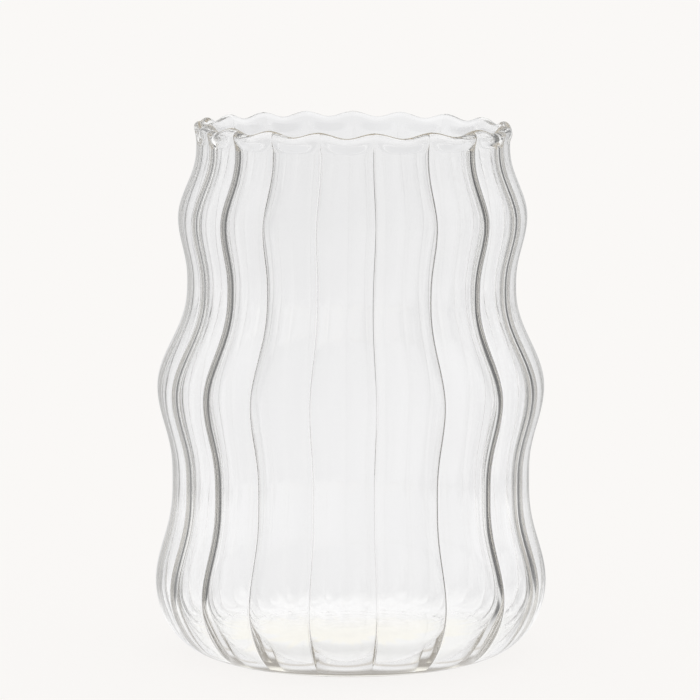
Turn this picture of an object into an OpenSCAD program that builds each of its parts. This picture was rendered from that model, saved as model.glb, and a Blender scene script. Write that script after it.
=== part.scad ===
// Ribbed chai glass, blown in one piece: a thin wall that swells and draws in three times, smooth
// outside and scooped inside into upright flutes that meet at sharp ribs, with a rounded heel, a
// shallow hollow under the foot and a fire-polished lip that rises at every rib.
// Millimetres, +Z up, origin on the table at the middle of the foot.

/* [Foot and heel] */
// Radius of the ring that the glass stands on
foot_r = 25.3; // [23:0.1:27]
// Width of the flat ring that touches the table
foot_land = 3; // [1.5:0.1:6]
// Rise of the hollow under the middle of the foot
punt_rise = 1; // [0.2:0.1:2]
// How far the heel runs flat outwards before it turns up
heel_out = 6.3; // [4:0.1:8]
// How far the heel runs straight down from the hip before it turns in
heel_down = 7.6; // [5:0.1:9]

/* [Bulges and waists of the wall] */
// Height of the hip, the lowest bulge, above the table
hip_rise = 13.6; // [11:0.1:18]
// Outer radius at the hip
hip_r = 37; // [35:0.1:40]
// How tightly the hip curves, 1 being as gently as a waist
hip_tightness = 1.65; // [1:0.05:2]
// Height of the lower waist above the hip
lower_waist_rise = 20.4; // [14:0.1:28]
// Outer radius at the lower waist
lower_waist_r = 33.75; // [31:0.05:36]
// Height of the belly, the middle bulge, above the lower waist
belly_rise = 16.7; // [12:0.1:24]
// Outer radius at the belly
belly_r = 36.5; // [34:0.1:40]
// How tightly the belly curves, 1 being as gently as a waist
belly_tightness = 1.3; // [1:0.05:2]
// Height of the upper waist above the belly
upper_waist_rise = 19.7; // [14:0.1:28]
// Outer radius at the upper waist
upper_waist_r = 30.95; // [29:0.05:34]
// Height of the shoulder, the top bulge, above the upper waist
shoulder_rise = 12.3; // [9:0.1:18]
// Outer radius at the shoulder
shoulder_r = 32.8; // [31:0.1:36]
// How tightly the shoulder curves, 1 being as gently as a waist
shoulder_tightness = 1.2; // [1:0.05:2]
// Height of the neck above the shoulder
neck_rise = 13.5; // [9:0.1:18]
// Outer radius at the neck
neck_r = 29.4; // [27:0.1:32]

/* [Lip] */
// Height of the lip above the neck
lip_rise = 3.9; // [3:0.1:8]
// Outer radius at the lip
lip_r = 29.8; // [27.5:0.1:32]
// Thickness of the fire-polished lip between two ribs
lip_t = 2; // [1.4:0.1:3]
// How far the lip rises at each rib above its level between two ribs
lip_wave = 0.9; // [0:0.05:1.5]
// How far the lip is out of level, from the middle to its high side
lip_slant = 0.25; // [0:0.05:0.5]
// How far the neck leans off the axis towards +X, as on a hand-blown glass
neck_lean = 0.45; // [0:0.05:1]

/* [Ribs inside the wall] */
// Number of ribs, and of the flutes between them
rib_count = 18; // [12:1:20]
// Height of a rib above the middle of the flute beside it
rib_height = 0.9; // [0.3:0.05:1.4]
// Height of the sharp crest along the top of a rib
crest_height = 0.1; // [0:0.02:0.3]
// Distance from the top of a rib in which its crest dies away
crest_width = 0.15; // [0.1:0.01:0.5]
// Radius on the floor at which the ribs begin
rib_start = 20; // [14:0.5:24]
// Share of a rib that melts away in the lip
rib_melt = 0.8; // [0:0.05:1]
// Turn of the ribs about the axis
rib_turn = -75.4; // [-180:0.1:180]
// Angle by which the ribs crowd towards one side, as they do on a hand-blown glass
crowd_one_side = 6.5; // [0:0.1:8]
// Place in the rib pattern of the least crowding towards one side
crowd_one_at = 144.6; // [-180:0.1:180]
// Angle by which the ribs crowd towards two opposite sides
crowd_two_sides = 1.5; // [0:0.1:4]
// Place in the rib pattern of the least crowding towards two sides
crowd_two_at = -82.2; // [-180:0.1:180]

/* [Glass thickness] */
// Thickness of the wall in the middle of a flute
wall_t = 1.3; // [1:0.05:2.2]
// Thickness of the floor
floor_t = 2.3; // [1.5:0.05:4]

/* [Hidden] */

// Sampling: sides of one flute, how closely they gather at its ribs, and the steps along each
// stretch of the outline
flute_sides = 6;
side_gather = 0.13;
punt_steps = 2;
heel_steps = 4;
wave_steps = 4;
lip_steps = 1;
bead_steps = 3;

// Turning points of the outline, as [radius, height, tightness of a bulge]
hip_z = hip_rise;
lower_waist_z = hip_z + lower_waist_rise;
belly_z = lower_waist_z + belly_rise;
upper_waist_z = belly_z + upper_waist_rise;
shoulder_z = upper_waist_z + shoulder_rise;
neck_z = shoulder_z + neck_rise;
turns = [
    [hip_r, hip_z, hip_tightness],
    [lower_waist_r, lower_waist_z, 1],
    [belly_r, belly_z, belly_tightness],
    [upper_waist_r, upper_waist_z, 1],
    [shoulder_r, shoulder_z, shoulder_tightness],
    [neck_r, neck_z, 1]
];

// Easing from 0 to 1 with level ends
function ease(t) = (1 - cos(180 * min(1, max(0, t)))) / 2;

// Point at share t of a cubic curve from a to d, steered by b and c
function cubic(a, b, c, d, t) =
    pow(1 - t, 3) * a + 3 * pow(1 - t, 2) * t * b + 3 * (1 - t) * t * t * c + pow(t, 3) * d;

// Point at share t of the half wave from turning point a up to turning point b
function half_wave(a, b, t) =
    let (waist = min(a[0], b[0]), swell = abs(a[0] - b[0]))
    let (to_bulge = a[0] > b[0] ? 1 - t : t, tightness = max(a[2], b[2]))
    [waist + swell * pow(ease(to_bulge), tightness), a[1] + (b[1] - a[1]) * t];

// Outline of the smooth outside, as [radius, height], from under the foot out and up to the lip
land_r = foot_r - foot_land;
flare_rise = lip_rise - lip_t / 2;
punt_line = [for (i = [1 : punt_steps]) let (t = i / punt_steps)
    [land_r * t, punt_rise * (1 - ease(t))]];
heel_line = [for (i = [0 : heel_steps - 1]) let (t = i / heel_steps)
    cubic([foot_r, 0], [foot_r + heel_out, 0], [hip_r, hip_z - heel_down], [hip_r, hip_z], t)];
wave_line = [for (k = [0 : len(turns) - 2]) for (i = [0 : wave_steps - 1])
    half_wave(turns[k], turns[k + 1], i / wave_steps)];
lip_line = [for (i = [0 : lip_steps]) let (t = i / lip_steps)
    [neck_r + (lip_r - neck_r) * t * t, neck_z + flare_rise * t]];
outline = concat(punt_line, heel_line, wave_line, lip_line);
last = len(outline) - 1;

// Unit vector along the outline at station i, and the normal that points out of the glass
function along(i) =
    let (d = outline[min(i + 1, last)] - outline[max(i - 1, 0)])
    d / norm(d);
function normal(i) = [along(i)[1], -along(i)[0]];

// Share of the way from the neck up to the lip at height z
function up_lip(z) = ease((z - neck_z) / flare_rise);

// Lean off the axis at height z, which grows from the belly to the neck
function lean(z) = neck_lean * ease((z - belly_z) / (neck_z - belly_z));

// Distance from rib angle a to the nearest rib, as a share of the way from one rib to the next
function from_rib(a) =
    let (u = rib_count * a / 360)
    abs(u - round(u));

// Rise of the inside at rib angle a and radius r: a scoop from rib to rib, and the rib's sharp crest
function rib(a, r) =
    let (crest = from_rib(a) * 2 * PI * r / rib_count / crest_width)
    rib_height * pow(1 - 2 * from_rib(a), 2) + crest_height * exp(-crest * crest);

// The ribs grow from the floor round the heel to the hip, and melt into the lip
function rib_share(p) =
    (p[1] < hip_z ? ease((p[0] - rib_start) / (hip_r - rib_start)) : 1) * (1 - rib_melt * up_lip(p[1]));

// Thickness of the glass behind point p of the outline at rib angle a: floor, wall or lip, and rib
function thickness(p, a) =
    floor_t + (wall_t - floor_t) * ease(p[1] / hip_z) + (lip_t - wall_t) * up_lip(p[1])
    + rib_share(p) * rib(a, p[0]);

// Angle about the axis of the point at rib angle a, moved as the ribs crowd together
function crowded(a) =
    a + rib_turn + crowd_one_side * cos(a - crowd_one_at) + crowd_two_sides * cos(2 * (a - crowd_two_at));

// Lift of the lip at rib angle a: humps at the ribs, and the slant towards its high side at -X
function lip_lift(a) = lip_wave * (ease(1 - 2 * from_rib(a)) - 1) - lip_slant * cos(crowded(a));

// Rib angles of the corners of every ring
corners = [for (k = [0 : rib_count - 1]) for (j = [0 : flute_sides - 1]) let (u = j / flute_sides)
    360 / rib_count * (k + u - side_gather * sin(360 * u))];

// One ring of the skin at station i, turned from the outside, 0, over the edge to the inside, 180
function ring(i, turn) =
    [for (a = corners)
        let (p = outline[i], half = thickness(p, a) / 2)
        let (q = p - half * (1 - cos(turn)) * normal(i) + half * sin(turn) * along(i))
        let (lift = lip_lift(a) * up_lip(p[1]))
        [q[0] * cos(crowded(a)) + lean(p[1]), q[0] * sin(crowded(a)), q[1] + lift]];

outer_rings = [for (i = [0 : last]) ring(i, 0)];
bead_rings = [for (i = [1 : bead_steps - 1]) ring(last, 180 * i / bead_steps)];
inner_rings = [for (i = [last : -1 : 0]) ring(i, 180)];

// The blown glass: one skin from under the foot over the lip to the floor, closed at both ends
module glass() {
    rings = concat(outer_rings, bead_rings, inner_rings);
    sides = len(corners);
    foot = len(rings) * sides;
    floor = foot + 1;
    top = foot - sides;
    skin = [for (k = [0 : len(rings) - 2]) for (j = [0 : sides - 1])
        let (a = k * sides + j, b = k * sides + (j + 1) % sides)
        each [[a, a + sides, b], [b, a + sides, b + sides]]];
    foot_fan = [for (j = [0 : sides - 1]) [foot, j, (j + 1) % sides]];
    floor_fan = [for (j = [0 : sides - 1]) [floor, top + (j + 1) % sides, top + j]];
    color("aliceblue", 0.35)
        polyhedron(
            points = concat([for (r = rings) each r], [[0, 0, punt_rise], [0, 0, punt_rise + floor_t]]),
            faces = concat(skin, foot_fan, floor_fan), convexity = 8);
}

glass();
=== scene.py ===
"""Chai glass: one blown, clear piece, smooth outside and ribbed inside, on a pale studio floor."""
import math
from collections import namedtuple

import bpy
import numpy as np
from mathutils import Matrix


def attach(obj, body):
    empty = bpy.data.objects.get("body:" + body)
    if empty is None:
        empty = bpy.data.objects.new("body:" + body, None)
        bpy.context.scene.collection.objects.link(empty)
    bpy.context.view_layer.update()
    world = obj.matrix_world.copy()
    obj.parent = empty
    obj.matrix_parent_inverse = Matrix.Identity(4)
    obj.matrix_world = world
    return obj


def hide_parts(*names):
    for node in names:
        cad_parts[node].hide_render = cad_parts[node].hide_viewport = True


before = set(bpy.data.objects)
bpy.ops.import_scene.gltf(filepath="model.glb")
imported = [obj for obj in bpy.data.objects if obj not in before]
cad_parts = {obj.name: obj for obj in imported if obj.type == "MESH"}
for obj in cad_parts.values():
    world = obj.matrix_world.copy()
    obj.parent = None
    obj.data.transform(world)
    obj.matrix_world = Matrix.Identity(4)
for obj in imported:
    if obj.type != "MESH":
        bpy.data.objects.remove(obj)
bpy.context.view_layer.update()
MM = 0.001

# Foot and heel, as in the CAD source
FOOT_R = 25.3 * MM
FOOT_LAND = 3 * MM
PUNT_RISE = 1 * MM
HEEL_OUT = 6.3 * MM
HEEL_DOWN = 7.6 * MM

# Bulges and waists of the wall: the rise above the one below, the outer radius and the tightness
Turn = namedtuple("Turn", "rise radius tightness")
HIP = Turn(13.6 * MM, 37 * MM, 1.65)
LOWER_WAIST = Turn(20.4 * MM, 33.75 * MM, 1)
BELLY = Turn(16.7 * MM, 36.5 * MM, 1.3)
UPPER_WAIST = Turn(19.7 * MM, 30.95 * MM, 1)
SHOULDER = Turn(12.3 * MM, 32.8 * MM, 1.2)
NECK = Turn(13.5 * MM, 29.4 * MM, 1)
BELLY_Z = HIP.rise + LOWER_WAIST.rise + BELLY.rise
NECK_Z = BELLY_Z + UPPER_WAIST.rise + SHOULDER.rise + NECK.rise

# Lip, and the lean of the neck off the axis
LIP_RISE = 3.9 * MM
LIP_R = 29.8 * MM
LIP_T = 2 * MM
LIP_WAVE = 0.9 * MM
LIP_SLANT = 0.25 * MM
FLARE_RISE = LIP_RISE - LIP_T / 2
NECK_LEAN = 0.45 * MM

# Ribs inside the wall, one between every two flutes, with a sharp crest along each
RIB_COUNT = 18
RIB_HEIGHT = 0.9 * MM
CREST_HEIGHT = 0.1 * MM
CREST_WIDTH = 0.15 * MM

# Where the ribs start on the floor, the power by which their crests die away faster down the heel,
# and the share of a rib that melts into the lip
RIB_START = 20 * MM
CREST_FALL = 4
RIB_MELT = 0.8

# The turn of the ribs about the axis, and how they crowd towards one side and towards two
RIB_TURN = math.radians(-75.4)
CROWD_ONE_SIDE, CROWD_ONE_AT = math.radians(6.5), math.radians(144.6)
CROWD_TWO_SIDES, CROWD_TWO_AT = math.radians(1.5), math.radians(-82.2)

# Glass thickness, in the middle of a flute
WALL_T = 1.3 * MM
FLOOR_T = 2.3 * MM

# Fineness of the mesh: steps along each stretch of the outline, sides of one flute, and how closely
# they gather at its ribs
PUNT_STEPS, LAND_STEPS, HEEL_STEPS = 8, 3, 30
WAVE_STEPS, FLARE_STEPS, BEAD_STEPS = 22, 10, 16
FLUTE_SIDES = 32
SIDE_GATHER = 0.13

# The glass: its refraction, its trace of tint, the depth, fineness round the axis and length of its
# streaks, and the detail of their noise
GLASS_IOR = 1.48
TINT = (0.8, 0.74, 0.62, 1)
TINT_DENSITY = 9
STREAK_DEPTH = 0.006 * MM
STREAK_FINENESS = 30
STREAK_LENGTH = 400 * MM
NOISE_DETAIL = 1

# Bounces that light may make inside the wall
BOUNCES = 128

# The photographed view: the camera's place, its tilt and its focal length
IMAGE_PX = 700
CAMERA_BACK = 759.2 * MM
CAMERA_LEFT = 0.15 * MM
CAMERA_UP = 156.2 * MM
CAMERA_TILT = math.radians(7.42)
FOCAL_PX = 4055.7
SENSOR = 36

# The light all round, the background that the camera sees, its share in the floor, which keeps some
# shading of its own, and half the floor's width
LIGHT = (1, 1, 1, 1)
BACKGROUND = (0.956, 0.939, 0.922, 1)
FLOOR_LIFT = 0.94
FLOOR_HALF = 6000 * MM

# What shows through the glass: a pool of light and shade painted on the floor by the distance from the
# middle of the foot, in ovals with ragged edges (cream and bright tones are painted light, the dull tone a
# painted shadow ring), and a band of painted shade at its front by the distance behind the middle
CREAM, DULL, PALE = (1.01, 0.985, 0.895), (0.94, 0.92, 0.845), (0.96, 0.96, 0.95)
BRIGHT, WHITE = (1.03, 1.03, 1.035), (0.92, 0.92, 0.928)
SEEN_LIGHT_AND_SHADE = (
    (0, CREAM), (15 * MM, CREAM), (17 * MM, DULL), (19 * MM, CREAM), (23 * MM, CREAM), (26 * MM, PALE),
    (30 * MM, PALE), (38 * MM, BRIGHT), (50 * MM, BRIGHT), (58 * MM, WHITE), (80 * MM, WHITE),
)
SEEN_OVAL = (0.7, 1, 1)
RAGGED, RAGGED_FINENESS = 20 * MM, 7
# Painted shade: a darker band across the floor in front of the foot, as it shows through the glass
SEEN_FRONT_SHADE = (
    (-32 * MM, 1), (-27 * MM, 0.93), (-23 * MM, 0.9), (-20 * MM, 0.8), (-17 * MM, 0.85), (-14 * MM, 1),
)

# The share by which the floor darkens far away and where it does, and the share by which the sky
# darkens further and the rise of the direction at which it has
FAR_FALL = 0.07
FAR_FADE = (250 * MM, 900 * MM)
SKY_FALL, SKY_TOP = 0.05, 0.07

# Dark sides that show through the glass and draw its ribs: their share by the angle from straight
# behind the glass, clockwise from above, their grey, and where they start on the floor
DARK_ROUND = (
    (-180, 0), (-75, 0), (-60, 1), (-46, 1), (-28, 0), (24, 0), (46, 1), (75, 1), (105, 0), (180, 0),
)
DARK = (0.2, 0.2, 0.2, 1)
DARK_FADE = (240 * MM, 430 * MM)

# The studio that shows in reflections off the outside of the glass: its grey by the angle
STUDIO_ROUND = (
    (-180, 0.5), (-120, 0.5), (-98, 1.2), (-58, 1.2), (-44, 0.8), (-30, 0.6), (30, 0.6), (44, 0.8),
    (58, 1.2), (98, 1.2), (120, 0.5), (180, 0.5),
)

# The dim room that shows in reflections inside the wall: its grey by the angle, and its strength by
# the number of reflections
ROOM_ROUND = (
    (-180, 0.6), (-150, 1.1), (-92, 1), (-84, 0.1), (-62, 0.1), (-52, 0.2), (-40, 0.4), (-26, 1.1),
    (20, 1.1), (34, 0.06), (62, 0.06), (72, 0.8), (84, 0.8), (98, 0.1), (120, 0.2), (150, 0.5), (180, 0.6),
)
DEEP = ((0, 1), (3, 1), (6, 0.65), (15, 0.65), (24, 1))

# The floor round the foot in those reflections, by the distance from the middle: painted cream light under
# the foot, a painted contact shadow ring and a fine painted shadow line where the glass stands, which fade
# from the front to the back, and where the room begins
CONTACT_SHADOW, SHADOW_LINE = (0.37, 0.345, 0.31), (0.72, 0.69, 0.65)
FOOT_LIGHT_AND_SHADOW = (
    (0, CREAM), (23 * MM, CREAM), (24 * MM, CONTACT_SHADOW), (26.5 * MM, CONTACT_SHADOW), (27.6 * MM, WHITE),
    (28.4 * MM, WHITE), (28.7 * MM, SHADOW_LINE), (29 * MM, SHADOW_LINE), (29.4 * MM, WHITE), (42 * MM, WHITE),
)
CONTACT_SHADOW_FADE = (-15 * MM, 5 * MM)
ROOM_FADE = (31 * MM, 42 * MM)


def ease(t):
    """0 to 1 with level ends."""
    return (1 - np.cos(np.pi * np.clip(t, 0, 1))) / 2


def shares(steps):
    """Shares of the way along a stretch of the outline, without its end."""
    return np.linspace(0, 1, steps + 1)[:-1]


def foot_line():
    """The hollow under the foot, and the flat ring that it stands on."""
    land_r = FOOT_R - FOOT_LAND
    t = shares(PUNT_STEPS)[1:]
    punt = np.stack([land_r * t, PUNT_RISE * (1 - ease(t))], 1)
    t = shares(LAND_STEPS)
    land = np.stack([land_r + FOOT_LAND * t, 0 * t], 1)
    return np.concatenate([punt, land])


def heel_line():
    """The heel, a cubic curve from the foot out and up to the hip."""
    t = shares(HEEL_STEPS)[:, None]
    a, b = np.array([FOOT_R, 0]), np.array([FOOT_R + HEEL_OUT, 0])
    c, d = np.array([HIP.radius, HIP.rise - HEEL_DOWN]), np.array([HIP.radius, HIP.rise])
    return (1 - t) ** 3 * a + 3 * (1 - t) ** 2 * t * b + 3 * (1 - t) * t ** 2 * c + t ** 3 * d


def half_wave(below, above, low):
    """The wall from one turning point, at height low, up to the next."""
    t = shares(WAVE_STEPS)
    waist, swell = min(below.radius, above.radius), abs(below.radius - above.radius)
    to_bulge = 1 - t if below.radius > above.radius else t
    tightness = max(below.tightness, above.tightness)
    return np.stack([waist + swell * ease(to_bulge) ** tightness, low + above.rise * t], 1)


def flare_line():
    """The flare from the neck up to the lip."""
    t = np.linspace(0, 1, FLARE_STEPS + 1)
    return np.stack([NECK.radius + (LIP_R - NECK.radius) * t ** 2, NECK_Z + FLARE_RISE * t], 1)


def outline():
    """Radius and height of the smooth outside, from under the foot out and up to the lip."""
    turns = (HIP, LOWER_WAIST, BELLY, UPPER_WAIST, SHOULDER, NECK)
    stretches = [foot_line(), heel_line()]
    low = HIP.rise
    for below, above in zip(turns, turns[1:]):
        stretches.append(half_wave(below, above, low))
        low += above.rise
    stretches.append(flare_line())
    return np.concatenate(stretches)


def rib_angles():
    """Rib angles of the corners of a ring, which gather at the ribs."""
    k, j = np.arange(RIB_COUNT), np.arange(FLUTE_SIDES) / FLUTE_SIDES
    return (k[:, None] + j - SIDE_GATHER * np.sin(2 * np.pi * j)).ravel() * 2 * np.pi / RIB_COUNT


def crowded(a):
    """Angle about the axis of rib angle a, moved as the ribs crowd together."""
    one = CROWD_ONE_SIDE * np.cos(a - CROWD_ONE_AT)
    return a + RIB_TURN + one + CROWD_TWO_SIDES * np.cos(2 * (a - CROWD_TWO_AT))


def from_rib(a):
    """Distance from rib angle a to the nearest rib, as a share of the way from rib to rib."""
    return np.abs((RIB_COUNT * a / (2 * np.pi) + 0.5) % 1 - 0.5)


def rib(a, radius, crest):
    """Rise of the inside at rib angle a: a scoop from rib to rib, and a share of the sharp crest."""
    from_crest = from_rib(a) * 2 * np.pi * radius[:, None] / RIB_COUNT
    crest = CREST_HEIGHT * crest[:, None] * np.exp(-(from_crest / CREST_WIDTH) ** 2)
    return RIB_HEIGHT * (1 - 2 * from_rib(a)) ** 2 + crest


def lip_lift(a):
    """Lift of the lip at rib angle a: humps at the ribs, and the slant towards its high side at -X."""
    return LIP_WAVE * (ease(1 - 2 * from_rib(a)) - 1) - LIP_SLANT * np.cos(crowded(a))


def skins():
    """Rings of points of the outside and of the inside, from the foot up to the lip."""
    a, line = rib_angles(), outline()
    r, z = line[:, 0], line[:, 1]
    along = np.gradient(line, axis=0)
    along /= np.linalg.norm(along, axis=1)[:, None]
    normal = np.stack([along[:, 1], -along[:, 0]], 1)

    up_lip = ease((z - NECK_Z) / FLARE_RISE)
    grown = np.where(z < HIP.rise, ease((r - RIB_START) / (HIP.radius - RIB_START)), 1)
    share = grown * (1 - RIB_MELT * up_lip)
    plain = FLOOR_T + (WALL_T - FLOOR_T) * ease(z / HIP.rise) + (LIP_T - WALL_T) * up_lip
    thickness = plain[:, None] + share[:, None] * rib(a, r, grown ** CREST_FALL)
    lean = NECK_LEAN * ease((z - BELLY_Z) / (NECK_Z - BELLY_Z))[:, None]
    lift = np.outer(up_lip, lip_lift(a))
    angle = crowded(a)

    def skin(depth):
        radius = r[:, None] - normal[:, :1] * depth
        height = z[:, None] - normal[:, 1:] * depth + lift
        return np.stack([radius * np.cos(angle) + lean, radius * np.sin(angle), height], 2)

    return skin(0 * thickness), skin(thickness)


def lip_bead(outer, inner):
    """Rings of the round edge that joins the top rings of the outside and the inside."""
    turn = np.linspace(0, np.pi, BEAD_STEPS + 1)[1:-1, None, None]
    out = (outer - inner) / 2
    around = np.roll(outer, -1, axis=0) - np.roll(outer, 1, axis=0)
    over = np.cross(out, around)
    over *= (np.linalg.norm(out, axis=1) / np.linalg.norm(over, axis=1))[:, None]
    return (outer + inner) / 2 + np.cos(turn) * out + np.sin(turn) * over


def glass_mesh():
    """The blown glass as one fine skin, from under the foot over the lip to the floor inside."""
    outer, inner = skins()
    rings = np.concatenate([outer, lip_bead(outer[-1], inner[-1]), inner[::-1]])
    count, sides = rings.shape[:2]
    poles = [[0, 0, PUNT_RISE], [0, 0, PUNT_RISE + FLOOR_T]]
    verts = np.concatenate([rings.reshape(-1, 3), poles])
    at = np.arange(count * sides).reshape(count, sides)
    beside = np.roll(at, -1, axis=1)
    quads = np.stack([at[:-1], beside[:-1], beside[1:], at[1:]], 2).reshape(-1, 4)
    foot, floor = count * sides, count * sides + 1
    faces = quads.tolist()
    faces += [[foot, q, p] for p, q in zip(at[0].tolist(), beside[0].tolist())]
    faces += [[floor, p, q] for p, q in zip(at[-1].tolist(), beside[-1].tolist())]
    mesh = bpy.data.meshes.new("blown_glass")
    mesh.from_pydata(verts.tolist(), [], faces)
    mesh.shade_smooth()
    mesh.update()
    return mesh


def shader(name):
    """A new material, and its node tree emptied but for a new output."""
    material = bpy.data.materials.new(name)
    material.use_nodes = True
    tree = material.node_tree
    tree.nodes.clear()
    return material, tree, tree.nodes.new("ShaderNodeOutputMaterial")


def put(tree, socket, value):
    """Sets a socket to a value, or links it to another node's output."""
    if isinstance(value, bpy.types.NodeSocket):
        tree.links.new(value, socket)
    else:
        socket.default_value = value


def number(tree, operation, *values):
    """Output of a math node."""
    node = tree.nodes.new("ShaderNodeMath")
    node.operation = operation
    for socket, value in zip(node.inputs, values):
        put(tree, socket, value)
    return node.outputs["Value"]


def vector(tree, operation, *values):
    """Output of a vector math node."""
    node = tree.nodes.new("ShaderNodeVectorMath")
    node.operation = operation
    for socket, value in zip(node.inputs, values):
        put(tree, socket, value)
    return node.outputs["Value" if operation == "LENGTH" else "Vector"]


def part(tree, direction, axis):
    """One axis of a vector."""
    node = tree.nodes.new("ShaderNodeSeparateXYZ")
    put(tree, node.inputs["Vector"], direction)
    return node.outputs[axis]


def spread(tree, value, start, end, curve="LINEAR"):
    """0 to 1 as the value goes from start to end."""
    node = tree.nodes.new("ShaderNodeMapRange")
    node.interpolation_type = curve
    put(tree, node.inputs["Value"], value)
    put(tree, node.inputs["From Min"], start)
    put(tree, node.inputs["From Max"], end)
    return node.outputs["Result"]


def toned(tree, value, stops):
    """Colour that runs through stops of (value, grey or colour)."""
    first, last = stops[0][0], stops[-1][0]
    node = tree.nodes.new("ShaderNodeValToRGB")
    elements = node.color_ramp.elements
    for place, _ in stops[1:-1]:
        elements.new((place - first) / (last - first))
    for element, (_, tone) in zip(elements, stops):
        element.color = (*np.broadcast_to(tone, 3), 1)
    put(tree, node.inputs["Fac"], spread(tree, value, first, last))
    return node.outputs["Color"]


def all_round(tree, direction, tones):
    """Tone of the surroundings in a direction, by its angle from straight behind the glass."""
    angle = number(tree, "ARCTAN2", part(tree, direction, "X"), part(tree, direction, "Y"))
    return toned(tree, number(tree, "DEGREES", angle), tones)


def streaks(tree, place, fineness, length=1):
    """Noise that runs round the axis finely, and changes slowly along it."""
    around = vector(tree, "NORMALIZE", vector(tree, "MULTIPLY", place, (1, 1, 0)))
    around = vector(tree, "MULTIPLY", around, (fineness, fineness, 0))
    noise = tree.nodes.new("ShaderNodeTexNoise")
    put(tree, noise.inputs["Scale"], 1)
    put(tree, noise.inputs["Detail"], NOISE_DETAIL)
    put(tree, noise.inputs["Vector"], vector(tree, "MULTIPLY_ADD", place, (0, 0, 1 / length), around))
    return noise.outputs["Fac"]


def glow(tree, node_type, colour, strength=1):
    """Output of a shader that shines in a colour."""
    node = tree.nodes.new(node_type)
    put(tree, node.inputs["Color"], colour)
    put(tree, node.inputs["Strength"], strength)
    return node.outputs[0]


def mixed(tree, share, first, second):
    """Output of a mix of two shaders."""
    mix = tree.nodes.new("ShaderNodeMixShader")
    put(tree, mix.inputs["Fac"], share)
    put(tree, mix.inputs[1], first)
    put(tree, mix.inputs[2], second)
    return mix.outputs["Shader"]


def clear_glass():
    """Clear glass with a trace of tint and the fine upright streaks of a blown wall."""
    material, tree, out = shader("clear_glass")
    body = tree.nodes.new("ShaderNodeBsdfPrincipled")
    put(tree, body.inputs["Base Color"], (1, 1, 1, 1))
    put(tree, body.inputs["Roughness"], 0)
    put(tree, body.inputs["IOR"], GLASS_IOR)
    put(tree, body.inputs["Transmission Weight"], 1)
    place = tree.nodes.new("ShaderNodeTexCoord").outputs["Object"]
    bump = tree.nodes.new("ShaderNodeBump")
    put(tree, bump.inputs["Distance"], STREAK_DEPTH)
    put(tree, bump.inputs["Height"], streaks(tree, place, STREAK_FINENESS, STREAK_LENGTH))
    put(tree, body.inputs["Normal"], bump.outputs["Normal"])
    tint = tree.nodes.new("ShaderNodeVolumeAbsorption")
    put(tree, tint.inputs["Color"], TINT)
    put(tree, tint.inputs["Density"], TINT_DENSITY)
    put(tree, out.inputs["Surface"], body.outputs["BSDF"])
    put(tree, out.inputs["Volume"], tint.outputs["Volume"])
    return material


def reflected(tree, node_type, direction):
    """What shows in reflections off the outside of the glass, and in those inside its wall."""
    path = tree.nodes.new("ShaderNodeLightPath").outputs
    studio = glow(tree, node_type, all_round(tree, direction, STUDIO_ROUND))
    strength = toned(tree, path["Glossy Depth"], DEEP)
    room = glow(tree, node_type, all_round(tree, direction, ROOM_ROUND), strength)
    return mixed(tree, path["Transmission Depth"], studio, room)


def surroundings(tree, node_type, plain, seen, reflections):
    """The background for the camera, what shows through the glass and in reflections, else plain."""
    path = tree.nodes.new("ShaderNodeLightPath").outputs
    last = mixed(tree, path["Is Transmission Ray"], plain, seen)
    last = mixed(tree, path["Glossy Depth"], last, reflections)
    return mixed(tree, path["Is Camera Ray"], last, glow(tree, node_type, BACKGROUND))


def floor_seen(tree, node_type, place, distance):
    """The floor as it shows through the glass, with its painted pool of light and its painted shade."""
    oval = vector(tree, "MULTIPLY", place, SEEN_OVAL)
    noise = streaks(tree, oval, RAGGED_FINENESS)
    ragged = number(tree, "MULTIPLY_ADD", noise, RAGGED, vector(tree, "LENGTH", oval))
    # Painted light and shade under the foot, and the painted shade band at its front
    fall = number(tree, "MULTIPLY_ADD", spread(tree, distance, *FAR_FADE), -FAR_FALL, 1)
    fall = number(tree, "MULTIPLY", fall, toned(tree, part(tree, place, "Y"), SEEN_FRONT_SHADE))
    pale = glow(tree, node_type, toned(tree, ragged, SEEN_LIGHT_AND_SHADE), fall)
    share = spread(tree, distance, *DARK_FADE, "SMOOTHSTEP")
    share = number(tree, "MULTIPLY", share, all_round(tree, place, DARK_ROUND))
    return mixed(tree, share, pale, glow(tree, node_type, DARK))


def floor_reflected(tree, node_type, place, distance):
    """The floor as it shows in reflections: round the foot with its painted light and painted contact
    shadow, and as part of the studio and the room.
    """
    # Painted contact shadow and painted light on the floor round the foot
    front = glow(tree, node_type, toned(tree, distance, FOOT_LIGHT_AND_SHADOW))
    behind = spread(tree, part(tree, place, "Y"), *CONTACT_SHADOW_FADE)
    near = mixed(tree, behind, front, glow(tree, node_type, (*WHITE, 1)))
    far = spread(tree, distance, *ROOM_FADE, "SMOOTHSTEP")
    return mixed(tree, far, near, reflected(tree, node_type, place))


def pale_floor():
    """Pale floor that takes the glass's shadow, lifted to the background where it is looked at, with
    painted light and shade round the foot for the glass.
    """
    material, tree, out = shader("pale_floor")
    body = tree.nodes.new("ShaderNodeBsdfDiffuse")
    put(tree, body.inputs["Color"], BACKGROUND)
    kind = "ShaderNodeEmission"
    place = tree.nodes.new("ShaderNodeNewGeometry").outputs["Position"]
    distance = vector(tree, "LENGTH", place)
    seen = floor_seen(tree, kind, place, distance)
    reflections = floor_reflected(tree, kind, place, distance)
    shown = surroundings(tree, kind, body.outputs["BSDF"], seen, reflections)
    put(tree, out.inputs["Surface"], mixed(tree, FLOOR_LIFT, body.outputs["BSDF"], shown))
    return material


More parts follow.
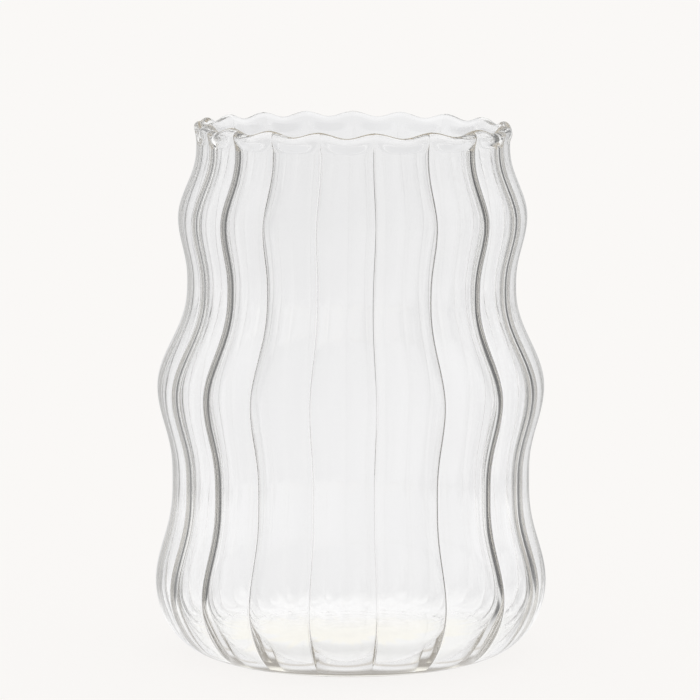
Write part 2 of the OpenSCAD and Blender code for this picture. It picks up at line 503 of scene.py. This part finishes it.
def lay_floor():
    """The wide floor under the glass, which isn't part of it."""
    mesh = bpy.data.meshes.new("floor")
    corners = [(x * FLOOR_HALF, y * FLOOR_HALF, 0) for x, y in ((-1, -1), (1, -1), (1, 1), (-1, 1))]
    mesh.from_pydata(corners, [], [(0, 1, 2, 3)])
    mesh.materials.append(pale_floor())
    floor = bpy.data.objects.new("floor", mesh)
    bpy.context.scene.collection.objects.link(floor)


def light_studio():
    """Even white light all round, with the pale background wherever the camera looks."""
    world = bpy.data.worlds.new("studio")
    bpy.context.scene.world = world
    world.use_nodes = True
    tree = world.node_tree
    tree.nodes.clear()
    out = tree.nodes.new("ShaderNodeOutputWorld")
    direction = tree.nodes.new("ShaderNodeTexCoord").outputs["Generated"]
    kind = "ShaderNodeBackground"
    up = spread(tree, part(tree, direction, "Z"), 0, SKY_TOP)
    fall = number(tree, "MULTIPLY_ADD", up, -SKY_FALL, 1 - FAR_FALL)
    pale = glow(tree, kind, (*WHITE, 1), fall)
    seen = mixed(tree, all_round(tree, direction, DARK_ROUND), pale, glow(tree, kind, DARK))
    reflections = reflected(tree, kind, direction)
    shown = surroundings(tree, kind, glow(tree, kind, LIGHT), seen, reflections)
    put(tree, out.inputs["Surface"], shown)


def place_camera():
    """The camera at the photographed view."""
    data = bpy.data.cameras.new("camera")
    data.sensor_width = SENSOR
    data.lens = SENSOR * FOCAL_PX / IMAGE_PX
    camera = bpy.data.objects.new("camera", data)
    camera.location = (-CAMERA_LEFT, -CAMERA_BACK, CAMERA_UP)
    camera.rotation_euler = (math.pi / 2 - CAMERA_TILT, 0, 0)
    bpy.context.scene.collection.objects.link(camera)
    bpy.context.scene.camera = camera


def allow_bounces():
    """Enough bounces for light that runs along inside the wall."""
    cycles = bpy.context.scene.cycles
    cycles.max_bounces = cycles.transmission_bounces = cycles.glossy_bounces = BOUNCES


glass = bpy.data.objects.new("blown_glass", glass_mesh())
glass.data.materials.append(clear_glass())
bpy.context.scene.collection.objects.link(glass)
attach(glass, "root")
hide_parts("glass")
light_studio()
lay_floor()
place_camera()
allow_bounces()
bpy.context.scene.view_settings.view_transform = "Standard"
